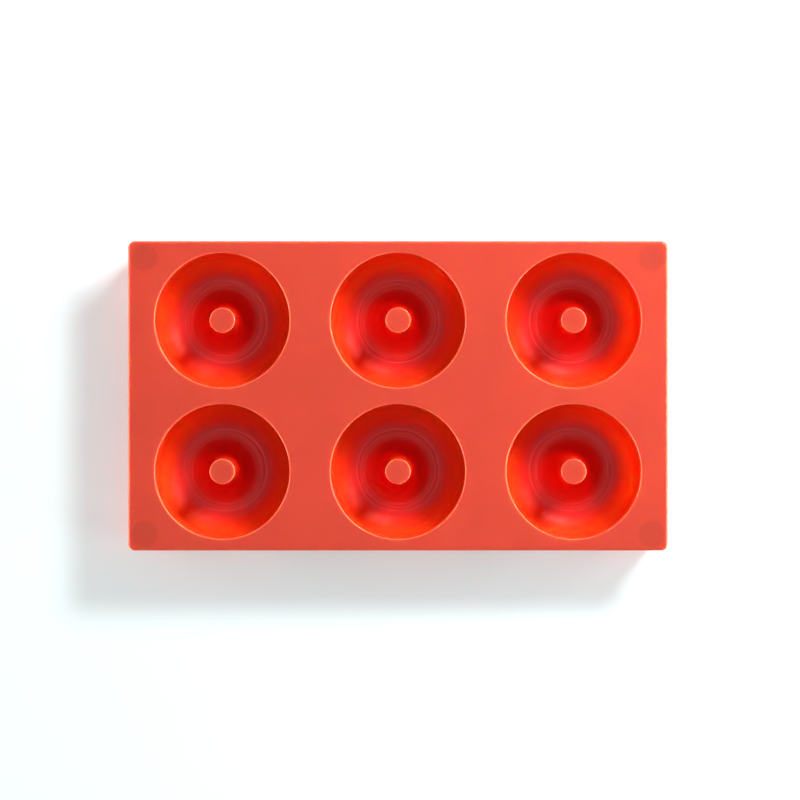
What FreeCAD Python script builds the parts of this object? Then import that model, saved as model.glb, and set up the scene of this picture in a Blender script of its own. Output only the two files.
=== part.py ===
import FreeCAD, Part
import math
import os
import Sketcher

# Silicone doughnut mould, compression moulded in one piece.
# A flat plate carries a grid of ring-shaped cavities. Each cavity is a U-shaped channel round a centre pin,
# with the same wall outside it, so every cup hangs below the plate and the pin is hollow from beneath.
# Webs join neighbouring cups and a hollow post stands under each corner of the plate.
# The frame has its origin on the surface the mould stands on, under the middle of the plate, with +Z up.

# Driving sizes, in millimetres and degrees. The plate follows the cavities and the margins round them.
SIZES = (
    ("columns", 3, "cavities along the plate"),
    ("rows", 2, "cavities across the plate"),
    ("cavity_diameter", 75.0, "cavity mouth, across the rim"),
    ("cavity_depth", 28.0, "from the plate's top to the lowest circle of the channel"),
    ("pin_diameter", 14.0, "centre pin, at the plate's top"),
    ("wall_draft", 3.0, "lean of the channel's walls, in degrees"),
    ("wall_thickness", 2.0, "cup wall, measured square to the surface"),
    ("pin_cap", 3.0, "silicone over the hollow of the pin"),
    ("standing_flat", 0.4, "how far the round cup bottom is flattened to stand on"),
    ("rim_rounding", 0.5, "edge radius of the cavity rims and the pin tops"),
    ("column_gap", 22.6, "between the rims of neighbouring columns"),
    ("row_gap", 9.0, "between the rims of neighbouring rows"),
    ("end_margin", 14.9, "from the last rim to the plate's end"),
    ("side_margin", 6.5, "from the last rim to the plate's side"),
    ("plate_thickness", 3.0, "flat plate"),
    ("plate_corner", 4.0, "corner radius of the plate's outline"),
    ("plate_top_rounding", 1.6, "radius along the plate's top edge"),
    ("plate_bottom_rounding", 0.8, "radius along the plate's bottom edge"),
    ("root_rounding", 1.2, "fillet between the plate's underside and what hangs from it"),
    ("web_thickness", 2.0, "webs between neighbouring cups"),
    ("web_depth", 15.0, "from the plate's underside to the webs' lower edge"),
    ("post_diameter", 16.0, "corner post, at the plate's underside"),
    ("post_wall", 2.0, "wall of the hollow corner post"),
    ("post_draft", 2.0, "lean of the post's walls, in degrees"),
    ("post_margin", 1.2, "from the post's outside to the plate's edges"),
)

# What follows from the driving sizes, as expressions over the sheet
HEIGHT = "(Sizes.cavity_depth + Sizes.wall_thickness - Sizes.standing_flat)"
UNDERSIDE = f"({HEIGHT} - Sizes.plate_thickness)"
PIN_TOP_INSIDE = f"({HEIGHT} - Sizes.pin_cap)"
CHANNEL_FLOOR = f"({HEIGHT} - Sizes.cavity_depth)"
COLUMN_PITCH = "(Sizes.cavity_diameter + Sizes.column_gap)"
ROW_PITCH = "(Sizes.cavity_diameter + Sizes.row_gap)"
FIRST_COLUMN = f"((Sizes.columns - 1) * {COLUMN_PITCH} / 2)"
FIRST_ROW = f"((Sizes.rows - 1) * {ROW_PITCH} / 2)"
HALF_LENGTH = f"({FIRST_COLUMN} + Sizes.cavity_diameter / 2 + Sizes.end_margin)"
HALF_WIDTH = f"({FIRST_ROW} + Sizes.cavity_diameter / 2 + Sizes.side_margin)"
CHANNEL_MIDDLE = "((Sizes.cavity_diameter + Sizes.pin_diameter) / 4)"
CHANNEL_HALF_MOUTH = "((Sizes.cavity_diameter - Sizes.pin_diameter) / 4)"
POST_X = f"({HALF_LENGTH} - Sizes.post_margin - Sizes.post_diameter / 2)"
POST_Y = f"({HALF_WIDTH} - Sizes.post_margin - Sizes.post_diameter / 2)"

# Taken from the channel's section, whose walls both touch its circle, as a plain number like the sheet's
CHANNEL_RADIUS = "(ChannelSection.Constraints.channel_radius / 1mm)"
CHANNEL_CENTRE = f"({CHANNEL_FLOOR} + {CHANNEL_RADIUS})"
SHELL_RADIUS = f"({CHANNEL_RADIUS} + Sizes.wall_thickness)"

# Where the first of each repeated form stands, and the steps from it
FIRST_CUP = {"x": f"-{FIRST_COLUMN}", "z": FIRST_ROW}
CUP_GRID = ((COLUMN_PITCH, "Sizes.columns"), (ROW_PITCH, "Sizes.rows"))
FIRST_POST = {"x": f"-{POST_X}", "y": f"-{POST_Y}", "z": UNDERSIDE}
POST_GRID = ((f"2 * {POST_X}", "2"), (f"2 * {POST_Y}", "2"))

# The plate's edge roundings leave a little of its upright side between them, however thin it is
TOP_ROUNDING = "min(Sizes.plate_top_rounding; 0.55 * Sizes.plate_thickness)"
BOTTOM_ROUNDING = "min(Sizes.plate_bottom_rounding; 0.4 * Sizes.plate_thickness)"

# Sketcher's names for the places that a constraint joins
START, END, CENTRE = range(1, 4)
ORIGIN = (-1, 1)

# What a pattern's list of steps holds where a step is the common one
EVEN_STEP = -1.0

# How near a level an edge has to lie to count as on it, in millimetres
ON_LEVEL = 1e-4

doc = FreeCAD.newDocument("DoughnutMould")
sheet = doc.addObject("Spreadsheet::Sheet", "Sizes")
for row, (alias, number, meaning) in enumerate(SIZES, start=1):
    sheet.set(f"A{row}", meaning)
    sheet.set(f"B{row}", str(number))
    sheet.setAlias(f"B{row}", alias)
body = doc.addObject("PartDesign::Body", "Mould")
body.Label = "doughnut_mould"
doc.recompute()


def value(expression):
    """What an expression over the sheet comes to."""
    return float(sheet.evalExpression(expression))


def origin_feature(role):
    """The body's own origin plane or axis with this role."""
    return next(feature for feature in body.Origin.OriginFeatures if feature.Role == role)


def new_sketch(name, plane, **offset):
    """A sketch on an origin plane. Each offset, x, y or z in the plane's own axes, is an expression."""
    sketch = body.newObject("Sketcher::SketchObject", name)
    sketch.AttachmentSupport = (origin_feature(plane), "")
    sketch.MapMode = "FlatFace"
    for axis, expression in offset.items():
        sketch.setExpression(f"AttachmentOffset.Base.{axis}", expression)
    return sketch


def rule(sketch, kind, *places, name=None, follows=None):
    """Adds a constraint. A size has a name, and follows its expression."""
    if follows is None:
        return sketch.addConstraint(Sketcher.Constraint(kind, *places))
    number = math.radians(value(follows)) if kind == "Angle" else value(follows)
    index = sketch.addConstraint(Sketcher.Constraint(kind, *places, number))
    sketch.renameConstraint(index, name)
    sketch.setExpression(f"Constraints.{name}", follows)
    return index


def vector(place):
    return FreeCAD.Vector(place[0], place[1], 0)


def circle(place, radius):
    return Part.Circle(vector(place), FreeCAD.Vector(0, 0, 1), radius)


def line(sketch, start, end):
    return sketch.addGeometry(Part.LineSegment(vector(start), vector(end)), False)


def arc(sketch, centre, radius, first, last):
    """Runs anticlockwise from the first to the last angle, in degrees."""
    ends = (math.radians(first), math.radians(last))
    return sketch.addGeometry(Part.ArcOfCircle(circle(centre, radius), *ends), False)


def rectangle(sketch, length, width):
    """Four lines symmetric about the sketch's origin."""
    x, y = value(length) / 2, value(width) / 2
    bottom = line(sketch, (-x, -y), (x, -y))
    right = line(sketch, (x, -y), (x, y))
    top = line(sketch, (x, y), (-x, y))
    left = line(sketch, (-x, y), (-x, -y))
    for side, following in ((bottom, right), (right, top), (top, left), (left, bottom)):
        rule(sketch, "Coincident", side, END, following, START)
    for side in (bottom, top):
        rule(sketch, "Horizontal", side)
    for side in (right, left):
        rule(sketch, "Vertical", side)
    rule(sketch, "Symmetric", bottom, START, top, START, *ORIGIN)
    rule(sketch, "DistanceX", bottom, START, bottom, END, name="length", follows=length)
    rule(sketch, "DistanceY", right, START, right, END, name="width", follows=width)


def disc(sketch, radius):
    """A circle round the sketch's origin."""
    rim = sketch.addGeometry(circle((0, 0), value(radius)), False)
    rule(sketch, "Coincident", rim, CENTRE, *ORIGIN)
    rule(sketch, "Radius", rim, name="radius", follows=radius)


def feature(kind, name, profile, **sizes):
    """A PartDesign feature on a sketch. Each size is an expression."""
    made = body.newObject(f"PartDesign::{kind}", name)
    made.Profile = profile
    for key, expression in sizes.items():
        made.setExpression(key, expression)
    return made


def turned(kind, name, profile):
    """A full turn of a sketch about its own vertical axis."""
    made = feature(kind, name, profile)
    made.ReferenceAxis = (profile, ["V_Axis"])
    made.Angle = 360
    return made


def settle(made, grows):
    """Makes a feature the body's tip, and tests that it added or removed material."""
    body.Tip = made
    doc.recompute()
    before = made.BaseFeature.Shape.Volume if made.BaseFeature else 0
    change = made.Shape.Volume - before
    if not made.isValid() or (change <= 0 if grows else change >= 0):
        raise RuntimeError(f"{made.Name} failed: the volume of {before:.1f} changed by {change:.1f}")
    print(f"{made.Name:18} {change:+12.2f} mm3")


def settle_grid(made, grid, grows):
    """Settles a feature and its copies towards +X and +Y. Each way of the grid is (pitch, count)."""
    settle(made, grows)
    if all(value(count) == 1 for _, count in grid):
        return
    pattern = body.newObject("PartDesign::LinearPattern", f"{made.Name}Grid")
    pattern.Originals = [made]
    for axis, suffix, (pitch, count) in zip(("X_Axis", "Y_Axis"), ("", "2"), grid):
        setattr(pattern, f"Direction{suffix}", (origin_feature(axis), [""]))
        setattr(pattern, f"Mode{suffix}", "Spacing")
        pattern.setExpression(f"Offset{suffix}", pitch)
        pattern.setExpression(f"Occurrences{suffix}", count)
        setattr(pattern, f"Spacings{suffix}", [EVEN_STEP] * (round(value(count)) - 1))
    settle(pattern, grows)


def edges_where(wanted):
    """Names of the body's edges that pass a test."""
    return [f"Edge{number}" for number, edge in enumerate(body.Shape.Edges, start=1) if wanted(edge)]


def lies_at(piece, level):
    """True for an edge or face that lies flat at a level."""
    return max(abs(piece.BoundBox.ZMin - level), abs(piece.BoundBox.ZMax - level)) < ON_LEVEL


def fillet(name, edges, radius, grows=False):
    """Rounds edges of the body. In an inner corner a fillet grows the body."""
    base = body.Tip
    made = body.newObject("PartDesign::Fillet", name)
    made.Base = (base, edges)
    made.setExpression("Radius", radius)
    settle(made, grows)


# Plate: a flat slab with rounded corners and softened edges
plate_outline = new_sketch("PlateOutline", "XY_Plane", z=UNDERSIDE)
rectangle(plate_outline, f"2 * {HALF_LENGTH}", f"2 * {HALF_WIDTH}")
settle(feature("Pad", "Plate", plate_outline, Length="Sizes.plate_thickness"), grows=True)

upright = edges_where(lambda edge: edge.BoundBox.ZLength > ON_LEVEL)
fillet("PlateCorners", upright, "Sizes.plate_corner")
top_edge = edges_where(lambda edge: lies_at(edge, value(HEIGHT)))
fillet("PlateTopEdge", top_edge, TOP_ROUNDING)
bottom_edge = edges_where(lambda edge: lies_at(edge, value(UNDERSIDE)))
fillet("PlateBottomEdge", bottom_edge, BOTTOM_ROUNDING)

# Section of the channel: a circle at its bottom that both drafted walls touch. The first guess has upright
# walls, and the sketch is solved from there.
middle = value(CHANNEL_MIDDLE)
half_mouth = value(CHANNEL_HALF_MOUTH)
mouth_level = value(HEIGHT)
channel_floor = value(CHANNEL_FLOOR)
channel_section = new_sketch("ChannelSection", "XZ_Plane", **FIRST_CUP)
channel = arc(channel_section, (middle, channel_floor + half_mouth), half_mouth, 180, 360)
rim_side, pin_side = (
    line(channel_section, (x, channel_floor + half_mouth), (x, mouth_level))
    for x in (middle + half_mouth, middle - half_mouth)
)
mouth = line(channel_section, (middle - half_mouth, mouth_level), (middle + half_mouth, mouth_level))
lowest = channel_section.addGeometry(Part.Point(vector((middle, channel_floor))), True)
rule(channel_section, "Tangent", pin_side, START, channel, START)
rule(channel_section, "Tangent", rim_side, START, channel, END)
rule(channel_section, "Coincident", pin_side, END, mouth, START)
rule(channel_section, "Coincident", rim_side, END, mouth, END)
rule(channel_section, "Horizontal", mouth)
rule(channel_section, "PointOnObject", lowest, START, channel)
rule(channel_section, "Vertical", lowest, START, channel, CENTRE)
rule(channel_section, "DistanceY", *ORIGIN, lowest, START, name="floor_level", follows=CHANNEL_FLOOR)
rule(channel_section, "DistanceY", *ORIGIN, mouth, START, name="mouth_level", follows=HEIGHT)
rule(channel_section, "DistanceX", *ORIGIN, mouth, START, name="pin_radius", follows="Sizes.pin_diameter / 2")
rule(channel_section, "DistanceX", *ORIGIN, mouth, END, name="rim_radius", follows="Sizes.cavity_diameter / 2")
rule(channel_section, "DistanceX", *ORIGIN, channel, CENTRE, name="middle", follows=CHANNEL_MIDDLE)
rule(channel_section, "Angle", rim_side, name="wall_angle", follows="90 - Sizes.wall_draft")
measured = channel_section.addConstraint(Sketcher.Constraint("Radius", channel, half_mouth))
channel_section.setDriving(measured, False)
channel_section.renameConstraint(measured, "channel_radius")
doc.recompute()


def shell_section(name, side, top):
    """From the cup's axis out to the shell's outer face. side is 1 beyond the channel and -1 inside the pin.
    The shell keeps one wall's distance from the channel and is cut flat where it stands."""
    draft = math.radians(value("Sizes.wall_draft"))
    radius = value(SHELL_RADIUS)
    centre_x, centre_z = value(CHANNEL_MIDDLE), value(CHANNEL_CENTRE)
    dip = math.asin(centre_z / radius)
    floor_x = centre_x + side * radius * math.cos(dip)
    touch_x = centre_x + side * radius * math.cos(draft)
    touch_z = centre_z - radius * math.sin(draft)
    top_level = value(top)
    top_x = touch_x + side * (top_level - touch_z) * math.tan(draft)

    sketch = new_sketch(name, "XZ_Plane", **FIRST_CUP)
    floor = line(sketch, (0, 0), (floor_x, 0))
    if side > 0:
        angles = (360 - math.degrees(dip), 360 - math.degrees(draft))
        floor_end, wall_end = START, END
    else:
        angles = (180 + math.degrees(draft), 180 + math.degrees(dip))
        floor_end, wall_end = END, START
    shell = arc(sketch, (centre_x, centre_z), radius, *angles)
    wall = line(sketch, (touch_x, touch_z), (top_x, top_level))
    ceiling = line(sketch, (top_x, top_level), (0, top_level))
    axis = line(sketch, (0, top_level), (0, 0))
    rule(sketch, "Coincident", floor, START, *ORIGIN)
    rule(sketch, "Coincident", floor, END, shell, floor_end)
    rule(sketch, "Tangent", wall, START, shell, wall_end)
    rule(sketch, "Coincident", wall, END, ceiling, START)
    rule(sketch, "Coincident", ceiling, END, axis, START)
    rule(sketch, "Coincident", axis, END, floor, START)
    rule(sketch, "Horizontal", floor)
    rule(sketch, "Horizontal", ceiling)
    rule(sketch, "Vertical", axis)
    rule(sketch, "DistanceY", *ORIGIN, axis, START, name="top_level", follows=top)
    rule(sketch, "DistanceX", *ORIGIN, shell, CENTRE, name="middle", follows=CHANNEL_MIDDLE)
    rule(sketch, "DistanceY", *ORIGIN, shell, CENTRE, name="centre_level", follows=CHANNEL_CENTRE)
    rule(sketch, "Radius", shell, name="shell_radius", follows=SHELL_RADIUS)
    rule(sketch, "Angle", wall, name="wall_angle", follows=f"90 - {side} * Sizes.wall_draft")
    return sketch


def hang_webs(name, x, y, length, width, web_grid):
    """Upright webs below the plate, the first with its middle at x, y."""
    outline = new_sketch(f"{name}Outline", "XY_Plane", x=x, y=y, z=UNDERSIDE)
    rectangle(outline, length, width)
    web = feature("Pad", name, outline, Length="Sizes.web_depth")
    web.Reversed = True
    settle_grid(web, web_grid, grows=True)


# Cups, solid at first, hung from the plate in a grid
settle_grid(turned("Revolution", "Cup", shell_section("CupSection", 1, HEIGHT)), CUP_GRID, grows=True)

# Webs between neighbouring cups. Each runs into the channels' middles, which the channels then clear.
if value("Sizes.columns") > 1:
    hang_webs(
        "WebAlong", x=f"{COLUMN_PITCH} / 2 - {FIRST_COLUMN}", y=f"-{FIRST_ROW}",
        length=f"{COLUMN_PITCH} - 2 * {CHANNEL_MIDDLE}", width="Sizes.web_thickness",
        web_grid=((COLUMN_PITCH, "Sizes.columns - 1"), (ROW_PITCH, "Sizes.rows")),
    )
if value("Sizes.rows") > 1:
    hang_webs(
        "WebAcross", x=f"-{FIRST_COLUMN}", y=f"{ROW_PITCH} / 2 - {FIRST_ROW}",
        length="Sizes.web_thickness", width=f"{ROW_PITCH} - 2 * {CHANNEL_MIDDLE}",
        web_grid=((COLUMN_PITCH, "Sizes.columns"), (ROW_PITCH, "Sizes.rows - 1")),
    )

# Fillets in the corner under the plate, round the cups and along the webs
underside = [face for face in body.Shape.Faces if lies_at(face, value(UNDERSIDE))]
outline = max((wire for face in underside for wire in face.Wires), key=lambda wire: wire.BoundBox.DiagonalLength)
roots = edges_where(
    lambda edge: lies_at(edge, value(UNDERSIDE)) and not any(edge.isSame(other) for other in outline.Edges)
)
fillet("Roots", roots, "Sizes.root_rounding", grows=True)

# Channels and the hollows of the pins
settle_grid(turned("Groove", "Channel", channel_section), CUP_GRID, grows=False)
pin_hollow_section = shell_section("PinHollowSection", -1, PIN_TOP_INSIDE)
settle_grid(turned("Groove", "PinHollow", pin_hollow_section), CUP_GRID, grows=False)

# Corner posts, hollow and open at the floor
post_outline = new_sketch("PostOutline", "XY_Plane", **FIRST_POST)
disc(post_outline, "Sizes.post_diameter / 2")
post = feature("Pad", "Post", post_outline, Length=UNDERSIDE, TaperAngle="-Sizes.post_draft")
post.Reversed = True
settle_grid(post, POST_GRID, grows=True)
bore_outline = new_sketch("PostBoreOutline", "XY_Plane", **FIRST_POST)
disc(bore_outline, "Sizes.post_diameter / 2 - Sizes.post_wall")
bore = feature("Pocket", "PostBore", bore_outline, Length=UNDERSIDE, TaperAngle="-Sizes.post_draft")
settle_grid(bore, POST_GRID, grows=False)

# Rims of the cavities and the pins, softened. They are the full circles in the plate's top.
rims = edges_where(lambda edge: lies_at(edge, value(HEIGHT)) and edge.isClosed())
fillet("Rims", rims, "Sizes.rim_rounding")

for made in doc.Objects:
    if {"Invalid", "Error"} & set(made.State):
        raise RuntimeError(f"{made.Name} did not build: {made.State}")
shape = body.Shape
if shape.isNull() or not shape.isValid() or len(shape.Solids) != 1:
    raise RuntimeError("The mould is not one valid solid")
os.makedirs("parts", exist_ok=True)
shape.exportStep(f"parts/{body.Label}.step")
box = shape.optimalBoundingBox()
print(f"{body.Label}: {box.XLength:.2f} x {box.YLength:.2f} x {box.ZLength:.2f} mm, {shape.Volume / 1000:.1f} cm3")
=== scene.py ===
import functools
import math

import bpy
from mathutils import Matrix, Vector


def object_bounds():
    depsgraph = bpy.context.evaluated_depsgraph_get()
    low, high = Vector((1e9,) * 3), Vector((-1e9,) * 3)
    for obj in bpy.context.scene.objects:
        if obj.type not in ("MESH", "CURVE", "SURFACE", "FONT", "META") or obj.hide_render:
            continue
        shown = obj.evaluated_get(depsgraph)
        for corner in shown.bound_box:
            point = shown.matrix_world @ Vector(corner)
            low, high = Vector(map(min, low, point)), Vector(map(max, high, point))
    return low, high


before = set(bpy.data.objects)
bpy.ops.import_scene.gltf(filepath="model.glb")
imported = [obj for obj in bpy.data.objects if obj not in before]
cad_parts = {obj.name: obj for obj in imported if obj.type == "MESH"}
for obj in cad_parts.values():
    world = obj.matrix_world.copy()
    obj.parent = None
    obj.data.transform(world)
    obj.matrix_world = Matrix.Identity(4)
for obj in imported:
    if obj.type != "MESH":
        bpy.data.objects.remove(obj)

bl_info = {
    "name": "Silicone Doughnut Mould",
    "version": (1, 0, 0),
    "blender": (4, 5, 0),
    "location": "View3D > Sidebar > Mould",
    "description": "Finishes a silicone doughnut mould and sets it in a plain studio",
    "category": "Object",
}

# The solid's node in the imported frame
MOULD = "doughnut_mould"

MM = 0.001

# The mould's own sizes. Lengths are in metres.
CAD_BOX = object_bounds()
HIGH = Vector(CAD_BOX[1])
TOP = HIGH.z
CUP_PITCH = (97.6 * MM, 84.0 * MM)
FIRST_ROW = CUP_PITCH[1] / 2

# The ring channel of each cup: its middle is a circle round the pin, and its bottom is round
CHANNEL_MIDDLE = 22.25 * MM
CHANNEL_HALF_MOUTH = 15.25 * MM
CHANNEL_DEPTH = 28.0 * MM
BOTTOM_RADIUS = 14.52 * MM
CHANNEL_FLOOR = TOP - CHANNEL_DEPTH
CHANNEL_CENTRE = CHANNEL_FLOOR + BOTTOM_RADIUS

# The post under the plate's corner
POST_INSET = 9.2 * MM
POST = HIGH - Vector((POST_INSET, POST_INSET, 0))

# Two fine rings on the channel's bottom lie this far to each side of a circle of this radius
RING_PAIR_MIDDLE = 21.15 * MM
RING_PAIR_ASIDE = 1.85 * MM

# Where each mask in the silicone fades, from and to
CHANNEL_SKIN = (15.2 * MM, 15.7 * MM)  # distance from the centre of the channel's section
# Over these two spans the channel's colour goes from painted glow to painted shade
OUTER_WALL = (25.0 * MM, 34.5 * MM)  # radius round the cup's axis
PIN_FOOT = (CHANNEL_FLOOR + 8 * MM, CHANNEL_FLOOR + 24 * MM)  # height
# The fine rings' bump and painted reflection fade over this
RING_LINE = (0.05 * MM, 0.5 * MM)  # distance from a fine ring
PLATE_FACE = (TOP - 1.4 * MM, TOP - 0.6 * MM)  # height
# The painted highlights of the rims and the border, and the posts' painted shade, fade over these
RIM_LINE = (0.1 * MM, 0.55 * MM)  # distance from a rim
PLATE_BORDER = (-1.5 * MM, -0.2 * MM)  # distance past the plate's edge
POST_DISC = (6.2 * MM, 8.4 * MM)  # distance from the post's axis

# The painted highlight of a rim lies this far outside the channel's mouth
RIM_OUTSIDE = 0.1 * MM

# How much of the edge colour, a painted highlight, the plate's border takes, and how much darker the posts'
# discs are painted as shade
BORDER_HIGHLIGHT = 0.5
POST_SHADE = 0.12

# Noise textures: how many patches to a metre (some 36 mm and 7 mm each), their detail and their roughness
MOTTLE = (28.0, 3.0, 0.55)
SCUFF = (140.0, 4.0, 0.6)
# The same without the first, for patches whose size is a property
GRAIN_DETAIL = (2.0, 0.5)
WAVE_DETAIL = (1.0, 0.5)
# What span of the noise is used, and what it makes of colour and of roughness
NOISE_SPAN = (0.3, 0.7)
MOTTLE_SHADES = (0.97, 1.03)
SCUFF_SHADES = (0.92, 1.08)

# Silicone's index of refraction, its satin sheen, and how far red, green and blue light go in it.
# Green goes further than red here, which gives thin walls the photograph's orange glow.
SILICONE_IOR = 1.41
SHEEN_LEVEL = 0.44
SCATTER = (1.0, 2.3, 0.25)

# The paper is a little less red than white, which makes up for the red light that the mould throws on it.
# Beyond its near part the camera sees it fade to plain white.
FLOOR_SIZE = 8
PAPER_COLOUR = (0.70, 0.83, 0.83, 1)
PAPER_FADE = (0.45, 1.0)

# The room, by the height of a direction in it: 1 is straight up, 0 is level
ROOM_COLOUR = (0.98, 0.94, 0.94, 1)
CEILING_EDGE = 0.012
CAMERA_EDGE = 0.0008
LOW_DIRECTION = 0.25
WHITE = (1, 1, 1, 1)

# The camera stands a little off the mould's middle, as the photograph's centre does
CAMERA_ASIDE = (1.1 * MM, -2.3 * MM)
SENSOR_WIDTH = 36


def linear(hex_colour):
    """An sRGB hex colour as linear RGB."""
    channels = (int(hex_colour[place:place + 2], 16) / 255 for place in (1, 3, 5))
    return tuple(c / 12.92 if c <= 0.04045 else ((c + 0.055) / 1.055) ** 2.4 for c in channels)


def colour_property(name, description, hex_colour):
    return bpy.props.FloatVectorProperty(
        name=name, description=description, subtype="COLOR", size=3, min=0, max=1,
        default=linear(hex_colour)
    )


def length_property(name, description, default):
    return bpy.props.FloatProperty(
        name=name, description=description, unit="LENGTH", default=default, min=0, precision=5
    )


def angle_property(name, description, degrees):
    return bpy.props.FloatProperty(
        name=name, description=description, subtype="ANGLE", default=math.radians(degrees)
    )


def level_property(name, description, default):
    return bpy.props.FloatProperty(name=name, description=description, default=default, min=0)


def share_property(name, description, default):
    return bpy.props.FloatProperty(name=name, description=description, default=default, min=0, max=1)


class MouldLook(bpy.types.PropertyGroup):
    """What the silicone is like."""

    # The satin colour is the plate's own coral with the pale sheen of the room painted in
    satin: colour_property("Satin faces", "Plate and pin tops", "#DD4D36")
    # The wall colour is painted glow: orange near the rims, where light passes the thin walls
    wall_glow: colour_property("Channel walls", "Polished walls of the cavities, at their rims", "#FF460F")
    # The deep colour is painted shade on the channels' bottoms and the pins' feet
    deep: colour_property("Channel bottoms", "Polished bottoms, and feet of the pins", "#DC0600")
    # The edge colour is a painted highlight on the rims and the plate's border
    edge: colour_property("Edges", "Thin rims that pass the light", "#E6624F")
    light_travel: length_property("Light travel", "How far red light goes in the silicone", 2.4 * MM)
    satin_roughness: share_property("Satin roughness", "Roughness of the plate", 0.44)
    polish_roughness: share_property("Polish roughness", "Roughness of the cavities' silicone", 0.42)
    gloss: share_property("Gloss", "How much of the cavities' skin is glassy", 0.6)
    gloss_roughness: share_property("Gloss roughness", "Roughness of the glassy skin", 0.03)
    grain: length_property("Grain", "Size of the satin grain, drawn coarse enough to show", 0.55 * MM)
    grain_depth: length_property("Grain depth", "How deep the satin grain goes", 0.012 * MM)
    ring_step: length_property("Ring step", "Between the tool's rings in the cavities", 1.15 * MM)
    ring_depth: length_property("Ring depth", "How deep the tool's rings go", 0.0022 * MM)
    # This share sets the painted reflection on the fine rings
    ring_reflection: share_property("Ring mark", "How satin the pair of fine rings is", 0.6)
    mark_depth: length_property("Mark depth", "How far the pair of rings stands up", 0.06 * MM)
    wave: length_property("Waviness", "Length of the slow waves of the soft plate", 38 * MM)
    wave_depth: length_property("Wave depth", "How deep the slow waves go", 0.1 * MM)


class StudioLook(bpy.types.PropertyGroup):
    """Camera and lights."""

    camera_height: length_property("Camera height", "Camera above the floor", 1.3)
    field: length_property("Field", "Width of the picture at the plate's top", 0.444)
    key_azimuth: angle_property("Key azimuth", "Where the key light stands, from +X towards +Y", 48)
    key_elevation: angle_property("Key elevation", "How high the key light stands", 33)
    key_width: length_property("Key width", "Width of the key light", 0.44)
    key_height: length_property("Key height", "Height of the key light", 0.25)
    key_distance: length_property("Key distance", "From the mould to the key light", 1.2)
    key_level: level_property("Key level", "What the key adds to a white surface", 1.22)
    side_elevation: angle_property("Side elevation", "How high the middle of the side panels is", 4)
    side_width: length_property("Side width", "Width of the side panels", 1.6)
    side_height: length_property("Side height", "Height of the side panels", 0.18)
    side_distance: length_property("Side distance", "From the mould to the side panels", 1.5)
    right_level: level_property("Right level", "What the right panel adds to a white surface", 3.2)
    left_level: level_property("Left level", "What the left panel adds to a white surface", 1.9)
    room: level_property("Room light", "Level of the light from all round", 0.3)
    ceiling: level_property("Ceiling", "Level of the bright ceiling over the mould", 0.75)
    ceiling_spread: angle_property("Ceiling spread", "From the zenith to the bright ceiling's edge", 17)
    camera_spread: angle_property("Camera spread", "Half the dark camera's angle in the ceiling", 4.5)
    floor_lift: level_property("Floor lift", "What the camera sees of the floor besides its lit colour", 0.28)


# Settings of a Map Range node that eases in and out
SOFTLY = {"interpolation_type": "SMOOTHSTEP"}


def add_node(tree, kind, *inputs, out=0, **settings):
    """Adds a node. Each input is a socket to link from, a value to set, or None to leave as it is."""
    node = tree.nodes.new(f"ShaderNode{kind}")
    for name, value in settings.items():
        setattr(node, name, value)
    for socket, value in zip([s for s in node.inputs if s.enabled], inputs):
        if isinstance(value, bpy.types.NodeSocket):
            tree.links.new(value, socket)
        elif value is not None:
            socket.default_value = value
    outputs = [s for s in node.outputs if s.enabled]
    return outputs[out] if outputs else None


def new_material(name):
    material = bpy.data.materials.new(name)
    material.use_nodes = True
    material.node_tree.nodes.clear()
    return material, material.node_tree


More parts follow.
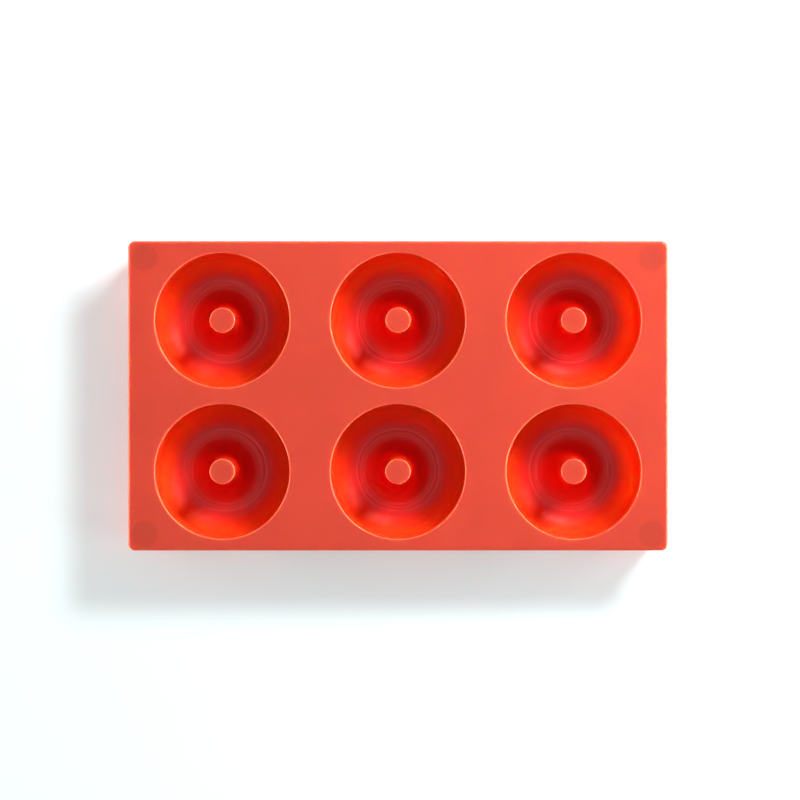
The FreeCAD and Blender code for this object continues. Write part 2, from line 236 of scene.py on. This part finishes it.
def silicone(look):
    """Red platinum-cured silicone, compression moulded.

    The blasted part of the tool leaves the plate satin: an even coral with a fine grain, with the pale sheen
    of the room painted into its colour. The polished part leaves the cavities smooth under a thin glassy
    reflection of the room; their colour is painted lighter orange towards the rims as glow and a deeper red
    towards the bottoms as shade. Light goes a few millimetres into the silicone, so thin walls and rims glow
    orange and the corner posts show through; the rims also get a painted highlight, the fine rings a painted
    reflection, and the posts painted darker discs.
    """
    material, tree = new_material("platinum_silicone_compression_moulded")

    add = functools.partial(add_node, tree)
    place = add("TexCoord", out=3)
    x, y, z = (add("SeparateXYZ", place, out=axis) for axis in range(3))

    # Distance from the nearest cup's axis
    shifted = add("VectorMath", place, (0, FIRST_ROW, 0), operation="SUBTRACT")
    half_pitch = (CUP_PITCH[0] / 2, CUP_PITCH[1] / 2, 1)
    folded = add("VectorMath", shifted, half_pitch, tuple(-half for half in half_pitch), operation="WRAP")
    flat = add("VectorMath", folded, (1, 1, 0), operation="MULTIPLY")
    radius = add("VectorMath", flat, operation="LENGTH")

    # Distance from the centre of the channel's section, which tells the channel's faces from the shell's.
    # Above the centre only the distance sideways counts, as the walls go almost straight up from there.
    aside = add("Math", add("Math", radius, CHANNEL_MIDDLE, operation="SUBTRACT"), operation="ABSOLUTE")
    below = add("Math", add("Math", CHANNEL_CENTRE, z, operation="SUBTRACT"), 0.0, operation="MAXIMUM")
    from_centre = add("VectorMath", add("CombineXYZ", aside, below, 0.0), operation="LENGTH")
    channel = add("MapRange", from_centre, *CHANNEL_SKIN, 1.0, 0.0, **SOFTLY)

    # How far down in the channel: on its outer wall by the radius, on the pin by the height. With it the
    # channel's colour goes from painted glow at the rims to painted shade at the bottoms.
    shade_by_radius = add("MapRange", radius, *OUTER_WALL, 1.0, 0.0)
    shade_by_height = add("MapRange", z, *PIN_FOOT, 1.0, 0.0, **SOFTLY)
    inner = add("Math", radius, CHANNEL_MIDDLE, operation="LESS_THAN")
    low = add("Mix", inner, shade_by_radius, shade_by_height)
    deep = add("Math", channel, low, operation="MULTIPLY")

    # The pair of fine rings that the tool leaves on the channel's bottom, drawn as a bump; their lighter
    # colour is a painted reflection
    off_ring = add("Math", radius, RING_PAIR_MIDDLE, operation="SUBTRACT")
    off_ring = add("Math", add("Math", off_ring, operation="ABSOLUTE"), RING_PAIR_ASIDE, operation="SUBTRACT")
    off_ring = add("Math", off_ring, operation="ABSOLUTE")
    mark = add("MapRange", off_ring, *RING_LINE, 1.0, 0.0, **SOFTLY)
    mark = add("Math", mark, channel, operation="MULTIPLY")

    # Thin rims: of the cavities, the pins and the plate, which get the edge colour as a painted highlight
    off_rim = add("Math", aside, CHANNEL_HALF_MOUTH + RIM_OUTSIDE, operation="SUBTRACT")
    off_rim = add("Math", off_rim, operation="ABSOLUTE")
    face = add("MapRange", z, *PLATE_FACE, 0.0, 1.0, **SOFTLY)
    rim = add("MapRange", off_rim, *RIM_LINE, 1.0, 0.0, **SOFTLY)
    rim = add("Math", rim, face, operation="MULTIPLY")
    off_end = add("Math", add("Math", x, operation="ABSOLUTE"), HIGH.x, operation="SUBTRACT")
    off_side = add("Math", add("Math", y, operation="ABSOLUTE"), HIGH.y, operation="SUBTRACT")
    outermost = add("Math", off_end, off_side, operation="MAXIMUM")
    border_highlight = add("MapRange", outermost, *PLATE_BORDER, 0.0, BORDER_HIGHLIGHT, **SOFTLY)
    edge = add("Math", rim, border_highlight, operation="MAXIMUM")

    # The corner posts, which show through the plate as slightly darker discs, painted here as shade where
    # they block the light from beneath
    corner = add("VectorMath", add("VectorMath", place, operation="ABSOLUTE"), POST, operation="SUBTRACT")
    corner = add("VectorMath", corner, (1, 1, 0), operation="MULTIPLY")
    off_post = add("VectorMath", corner, operation="LENGTH")
    painted_post_shade = add("MapRange", off_post, *POST_DISC, POST_SHADE, 0.0, **SOFTLY)
    painted_post_shade = add("Math", painted_post_shade, face, operation="MULTIPLY")

    # Colour, with a faint mottle. It also holds painted light: glow and shade in the channels, highlights on
    # the rims and the border, reflections on the fine rings and darker discs over the posts
    mottle = add("TexNoise", place, *MOTTLE)
    shade = add("MapRange", mottle, *NOISE_SPAN, *MOTTLE_SHADES, **SOFTLY)
    # Painted shade over the posts
    shade = add("Math", shade, painted_post_shade, operation="SUBTRACT")
    colour = add("Mix", channel, (*look.satin, 1), (*look.wall_glow, 1), data_type="RGBA")
    colour = add("Mix", deep, colour, (*look.deep, 1), data_type="RGBA")
    # The fine rings take the satin colour as a painted reflection
    painted_ring_reflection = add("Math", mark, look.ring_reflection, operation="MULTIPLY")
    colour = add("Mix", painted_ring_reflection, colour, (*look.satin, 1), data_type="RGBA")
    colour = add("Mix", edge, colour, (*look.edge, 1), data_type="RGBA")
    colour = add("Mix", 1.0, colour, shade, data_type="RGBA", blend_type="MULTIPLY")

    roughness = add("Mix", channel, look.satin_roughness, look.polish_roughness)
    scuff = add("MapRange", add("TexNoise", place, *SCUFF), *NOISE_SPAN, *SCUFF_SHADES, **SOFTLY)
    roughness = add("Math", roughness, scuff, operation="MULTIPLY")

    # Bump. The real grain is about 0.1 mm and the picture's pixel 0.55 mm, so the grain is drawn coarser.
    grain = add("TexNoise", place, 1 / look.grain, *GRAIN_DETAIL)
    grain = add("Math", grain, add("Math", 1.0, channel, operation="SUBTRACT"), operation="MULTIPLY")
    rings = add("Math", radius, math.tau / look.ring_step, operation="MULTIPLY")
    rings = add("Math", rings, operation="SINE")
    rings = add("Math", rings, channel, operation="MULTIPLY")
    wave = add("TexNoise", place, 1 / look.wave, *WAVE_DETAIL)
    normal = add("Bump", 1.0, look.wave_depth, 1.0, wave)
    normal = add("Bump", 1.0, look.grain_depth, 1.0, grain, normal)
    normal = add("Bump", 1.0, look.ring_depth, 1.0, rings, normal)
    normal = add("Bump", 1.0, look.mark_depth, 1.0, mark, normal)

    shader = tree.nodes.new("ShaderNodeBsdfPrincipled")
    for name, value in {
        "IOR": SILICONE_IOR, "Specular IOR Level": SHEEN_LEVEL,
        "Subsurface Weight": 1.0, "Subsurface Radius": SCATTER, "Subsurface Scale": look.light_travel,
        "Coat Roughness": look.gloss_roughness, "Coat IOR": SILICONE_IOR,
    }.items():
        shader.inputs[name].default_value = value
    tree.links.new(add("Math", channel, look.gloss, operation="MULTIPLY"), shader.inputs["Coat Weight"])
    tree.links.new(colour, shader.inputs["Base Color"])
    tree.links.new(roughness, shader.inputs["Roughness"])
    tree.links.new(normal, shader.inputs["Normal"])
    add("OutputMaterial", shader.outputs[0])
    return material


class MOULD_OT_skin(bpy.types.Operator):
    """Gives the mould its silicone"""

    bl_idname = "mould.skin"
    bl_label = "Mould"

    def execute(self, context):
        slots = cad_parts[MOULD].data.materials
        slots.clear()
        slots.append(silicone(context.scene.mould_look))
        return {"FINISHED"}


def paper(lift):
    """Matt white paper, which shows no shine and takes soft grey shadows.

    It lets light and sight through from beneath, so that the mould's underside can be seen.
    """
    material, tree = new_material("matt_white_paper")
    rays = tree.nodes.new("ShaderNodeLightPath").outputs
    matt = add_node(tree, "BsdfDiffuse", PAPER_COLOUR)
    seen = add_node(tree, "Math", rays["Is Camera Ray"], rays["Is Glossy Ray"], operation="MAXIMUM")
    seen = add_node(tree, "Math", seen, rays["Is Transmission Ray"], operation="MAXIMUM")
    away = add_node(tree, "VectorMath", add_node(tree, "TexCoord", out=3), operation="LENGTH")
    fade = add_node(tree, "MapRange", away, *PAPER_FADE, lift, 1.0)
    glow = add_node(tree, "Emission", WHITE, add_node(tree, "Math", seen, fade, operation="MULTIPLY"))
    front = add_node(tree, "AddShader", matt, glow)
    back = add_node(tree, "BsdfTransparent", WHITE)
    behind = tree.nodes.new("ShaderNodeNewGeometry").outputs["Backfacing"]
    add_node(tree, "OutputMaterial", add_node(tree, "MixShader", behind, front, back))
    return material


def aim(azimuth, elevation):
    """The direction from the mould towards a lamp."""
    across = math.cos(elevation)
    return Vector((math.cos(azimuth) * across, math.sin(azimuth) * across, math.sin(elevation)))


def softbox(name, azimuth, elevation, distance, width, height, level):
    """A rectangular lamp that faces the mould. Level is what it adds to a white surface that faces it.

    Such a lamp lights the surface by its power over pi times the square of the distance, and a white
    surface sends on that light over pi.
    """
    lamp = bpy.data.lights.new(name, "AREA")
    lamp.shape = "RECTANGLE"
    lamp.size, lamp.size_y = width, height
    lamp.energy = level * math.pi * math.pi * distance**2
    box = bpy.data.objects.new(name, lamp)
    direction = aim(azimuth, elevation)
    box.location = direction * distance
    box.rotation_mode = "QUATERNION"
    box.rotation_quaternion = direction.to_track_quat("Z", "Y")
    box.visible_camera = False
    bpy.context.scene.collection.objects.link(box)


def room(studio):
    """A pale room with a bright ceiling over the mould, in which the camera hangs as a dark spot."""
    world = bpy.data.worlds.new("white_room")
    world.use_nodes = True
    tree = world.node_tree
    tree.nodes.clear()
    rays = tree.nodes.new("ShaderNodeLightPath").outputs
    height = add_node(tree, "SeparateXYZ", add_node(tree, "TexCoord"), out=2)
    rim, spot = math.cos(studio.ceiling_spread), math.cos(studio.camera_spread)
    panel = add_node(tree, "MapRange", height, rim - CEILING_EDGE, rim + CEILING_EDGE, 0.0, 1.0)
    spot = add_node(tree, "MapRange", height, spot - CAMERA_EDGE, spot + CAMERA_EDGE, 1.0, 0.0)
    strength = add_node(tree, "MapRange", panel, 0.0, 1.0, studio.room, studio.ceiling)
    strength = add_node(tree, "Math", strength, spot, operation="MULTIPLY")
    lit = add_node(tree, "Background", ROOM_COLOUR, strength)

    # The camera sees plain white, and so do mirrored and passing rays that go off low
    white = add_node(tree, "Background", WHITE, 1.0)
    low = add_node(tree, "Math", height, LOW_DIRECTION, operation="LESS_THAN")
    mirrored = add_node(tree, "Math", rays["Is Glossy Ray"], rays["Is Transmission Ray"], operation="MAXIMUM")
    mirrored = add_node(tree, "Math", mirrored, low, operation="MULTIPLY")
    seen = add_node(tree, "Math", rays["Is Camera Ray"], mirrored, operation="MAXIMUM")
    add_node(tree, "OutputWorld", add_node(tree, "MixShader", seen, lit, white))
    return world


class MOULD_OT_stage(bpy.types.Operator):
    """Adds the floor, the lights and the camera"""

    bl_idname = "mould.stage"
    bl_label = "Stage"

    def execute(self, context):
        scene = context.scene
        studio = scene.mould_studio
        bpy.ops.mesh.primitive_plane_add(size=FLOOR_SIZE, location=(0, 0, 0))
        floor = context.object
        floor.name = "floor"
        floor.data.materials.append(paper(studio.floor_lift))

        softbox(
            "key_softbox", studio.key_azimuth, studio.key_elevation, studio.key_distance,
            studio.key_width, studio.key_height, studio.key_level
        )
        for name, azimuth, level in (
            ("right_panel", 0.0, studio.right_level), ("left_panel", math.pi, studio.left_level),
        ):
            softbox(
                name, azimuth, studio.side_elevation, studio.side_distance,
                studio.side_width, studio.side_height, level
            )
        scene.world = room(studio)

        lens = bpy.data.cameras.new("camera")
        camera = bpy.data.objects.new("camera", lens)
        camera.location = (*CAMERA_ASIDE, studio.camera_height)
        lens.sensor_width = SENSOR_WIDTH
        lens.lens = lens.sensor_width * (studio.camera_height - TOP) / studio.field
        scene.collection.objects.link(camera)
        scene.camera = camera
        scene.view_settings.view_transform = "Standard"
        return {"FINISHED"}


class MOULD_PT_panel(bpy.types.Panel):
    """Lists the mould's sizes, colours and steps"""

    bl_label = "Silicone Doughnut Mould"
    bl_idname = "MOULD_PT_panel"
    bl_space_type = "VIEW_3D"
    bl_region_type = "UI"
    bl_category = "Mould"

    def draw(self, context):
        scene = context.scene
        for group, operator in ((scene.mould_look, MOULD_OT_skin), (scene.mould_studio, MOULD_OT_stage)):
            box = self.layout.box()
            for name in group.__annotations__:
                box.prop(group, name)
            box.operator(operator.bl_idname)


CLASSES = (MouldLook, StudioLook, MOULD_OT_skin, MOULD_OT_stage, MOULD_PT_panel)


def register():
    for cls in CLASSES:
        bpy.utils.register_class(cls)
    bpy.types.Scene.mould_look = bpy.props.PointerProperty(type=MouldLook)
    bpy.types.Scene.mould_studio = bpy.props.PointerProperty(type=StudioLook)


def unregister():
    del bpy.types.Scene.mould_studio
    del bpy.types.Scene.mould_look
    for cls in reversed(CLASSES):
        bpy.utils.unregister_class(cls)


def main():
    register()
    bpy.ops.mould.skin()
    bpy.ops.mould.stage()


if __name__ == "__main__":
    main()
